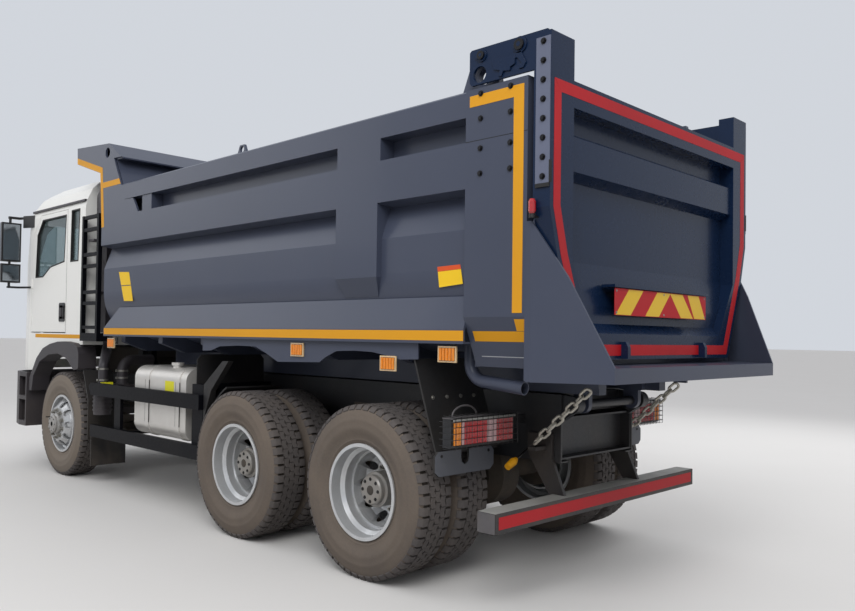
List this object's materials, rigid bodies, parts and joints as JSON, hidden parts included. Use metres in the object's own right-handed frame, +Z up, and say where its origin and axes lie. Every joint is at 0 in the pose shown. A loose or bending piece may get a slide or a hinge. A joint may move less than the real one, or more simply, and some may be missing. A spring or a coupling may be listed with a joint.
{
  "type": "dump truck",
  "caption": "Dump truck with a tilting day cab, a rounded tipping body under a cab guard, a front telescopic hoist, a top-hinged tailgate and twin rear wheels",
  "frame": {"origin": "on the ground under the centre of the whole truck's bounding box", "axes": "+X forward, +Y to the left, +Z up"},
  "size_m": [7.943, 2.816, 3.372],
  "materials": {
    "tyre": "black rubber with brown road dust on the sidewalls",
    "rim": "silver paint, dusty",
    "chassis": "black chassis paint, dusty",
    "body": "dark slate grey gloss paint",
    "gate": "dark blue grey gloss paint",
    "cab_white": "warm white gloss paint",
    "dark_plastic": "dark grey grained plastic",
    "glass": "clear tinted glass",
    "interior": "grey trim",
    "seat": "dark woven cloth",
    "tank": "bare aluminium",
    "hoist": "ground steel",
    "hoist_paint": "dark paint",
    "lamp_red": "red lens",
    "lamp_clear": "clear lens",
    "steel": "plain steel, worn",
    "chain": "zinc-plated steel, dusty"
  },
  "bodies": {
    "chassis": {"frame_rails": "chassis", "cross_members": "chassis", "subframe": "chassis", "springs": "chassis", "front_axle": "steel", "driven_axles": "chassis", "engine": "steel", "fuel_tank": "tank", "battery_box": "chassis", "silencer": "chassis", "air_intake": "chassis", "rear_rack": "chassis", "side_guards": "chassis", "mudguards": "chassis", "tail_lamps": "lamp_red", "underrun_bar": "chassis", "chains": "chain", "bumper": "dark_plastic", "headlamps": "lamp_clear"},
    "cab": {"cab_roof": "cab_white", "cab_rear_wall": "cab_white", "cab_front": "cab_white", "cab_floor": "cab_white", "cab_sides": "cab_white", "cab_glass": "glass", "dashboard": "interior", "seats": "seat", "wheel_arches": "dark_plastic", "mirrors": "dark_plastic"},
    "left_door": {"left_door": "cab_white", "left_door_glass": "glass"},
    "right_door": {"right_door": "cab_white", "right_door_glass": "glass"},
    "left_knuckle": {"left_knuckle": "steel"},
    "right_knuckle": {"right_knuckle": "steel"},
    "tie_rod": {"tie_rod": "steel"},
    "front_left_wheel": {"front_left_tyre": "tyre", "front_left_rim": "rim"},
    "front_right_wheel": {"front_right_tyre": "tyre", "front_right_rim": "rim"},
    "dump_body": {"body_floor": "body", "body_sides": "body", "body_front_wall": "body", "cab_guard": "body", "floor_frame": "body", "lifting_eyes": "body"},
    "tailgate": {"tailgate": "gate"},
    "hoist_barrel": {"hoist_barrel": "hoist_paint"},
    "middle_left_wheels": {"middle_left_tyres": "tyre", "middle_left_rims": "rim"},
    "middle_right_wheels": {"middle_right_tyres": "tyre", "middle_right_rims": "rim"},
    "rear_left_wheels": {"rear_left_tyres": "tyre", "rear_left_rims": "rim"},
    "rear_right_wheels": {"rear_right_tyres": "tyre", "rear_right_rims": "rim"},
    "hoist_stage_1": {"hoist_stage_1": "hoist"},
    "hoist_stage_2": {"hoist_stage_2": "hoist"},
    "hoist_stage_3": {"hoist_stage_3": "hoist"},
    "hoist_stage_4": {"hoist_stage_4": "hoist"}
  },
  "joints": [
    {"name": "steer_left", "type": "hinge", "parent": "chassis", "child": "left_knuckle", "pos_m": [2.5215, 0.8, 0.5425], "axis": [0, 0, 1], "range_deg": [-35, 35]},
    {"name": "steer_right", "type": "hinge", "parent": "chassis", "child": "right_knuckle", "pos_m": [2.5215, -0.8, 0.5425], "axis": [0, 0, 1], "range_deg": [-35, 35]},
    {"name": "tie_rod_ball", "type": "hinge", "parent": "left_knuckle", "child": "tie_rod", "pos_m": [2.2215, 0.8, 0.4375], "axis": [0, 0, 1], "range_deg": [-35, 35]},
    {"name": "front_left_spin", "type": "hinge", "parent": "left_knuckle", "child": "front_left_wheel", "pos_m": [2.5215, 0.985, 0.5425], "axis": [0, 1, 0], "continuous": true},
    {"name": "front_right_spin", "type": "hinge", "parent": "right_knuckle", "child": "front_right_wheel", "pos_m": [2.5215, -0.985, 0.5425], "axis": [0, 1, 0], "continuous": true},
    {"name": "middle_left_spin", "type": "hinge", "parent": "chassis", "child": "middle_left_wheels", "pos_m": [-0.9285, 0.937, 0.5425], "axis": [0, 1, 0], "continuous": true},
    {"name": "middle_right_spin", "type": "hinge", "parent": "chassis", "child": "middle_right_wheels", "pos_m": [-0.9285, -0.937, 0.5425], "axis": [0, 1, 0], "continuous": true},
    {"name": "rear_left_spin", "type": "hinge", "parent": "chassis", "child": "rear_left_wheels", "pos_m": [-2.3285, 0.937, 0.5425], "axis": [0, 1, 0], "continuous": true},
    {"name": "rear_right_spin", "type": "hinge", "parent": "chassis", "child": "rear_right_wheels", "pos_m": [-2.3285, -0.937, 0.5425], "axis": [0, 1, 0], "continuous": true},
    {"name": "cab_tilt", "type": "hinge", "parent": "chassis", "child": "cab", "pos_m": [3.7915, 0, 1.09], "axis": [0, 1, 0], "range_deg": [0, 55]},
    {"name": "left_door_swing", "type": "hinge", "parent": "cab", "child": "left_door", "pos_m": [3.3995, 1.12, 2.1], "axis": [0, 0, -1], "range_deg": [0, 75]},
    {"name": "right_door_swing", "type": "hinge", "parent": "cab", "child": "right_door", "pos_m": [3.3995, -1.12, 2.1], "axis": [0, 0, 1], "range_deg": [0, 75]},
    {"name": "body_tip", "type": "hinge", "parent": "chassis", "child": "dump_body", "pos_m": [-3.3285, 0, 1.11], "axis": [0, -1, 0], "range_deg": [0, 48], "deforming": ["chains"]},
    {"name": "tailgate_swing", "type": "hinge", "parent": "dump_body", "child": "tailgate", "pos_m": [-3.2295, 0, 3.067], "axis": [0, 1, 0], "range_deg": [0, 60]},
    {"name": "hoist_swing", "type": "hinge", "parent": "chassis", "child": "hoist_barrel", "pos_m": [1.8615, 0, 1.1], "axis": [0, -1, 0], "range_deg": [0, 29.66]},
    {"name": "hoist_slide_1", "type": "slide", "parent": "hoist_barrel", "child": "hoist_stage_1", "axis": [0, 0, 1], "range_m": [0, 1.0399]},
    {"name": "hoist_slide_2", "type": "slide", "parent": "hoist_stage_1", "child": "hoist_stage_2", "axis": [0, 0, 1], "range_m": [0, 1.0399]},
    {"name": "hoist_slide_3", "type": "slide", "parent": "hoist_stage_2", "child": "hoist_stage_3", "axis": [0, 0, 1], "range_m": [0, 1.0399]},
    {"name": "hoist_slide_4", "type": "slide", "parent": "hoist_stage_3", "child": "hoist_stage_4", "axis": [0, 0, 1], "range_m": [0, 1.0399]}
  ],
  "couplings": [
    {"joint": "steer_right", "follows": "steer_left", "ratio": 1},
    {"joint": "tie_rod_ball", "follows": "steer_left", "ratio": -1},
    {"joint": "hoist_swing", "follows": "body_tip", "ratio": 0.60743},
    {"joint": "hoist_slide_1", "follows": "body_tip", "m_per_rad": 1.2354},
    {"joint": "hoist_slide_2", "follows": "body_tip", "m_per_rad": 1.2354},
    {"joint": "hoist_slide_3", "follows": "body_tip", "m_per_rad": 1.2354},
    {"joint": "hoist_slide_4", "follows": "body_tip", "m_per_rad": 1.2354}
  ]
}
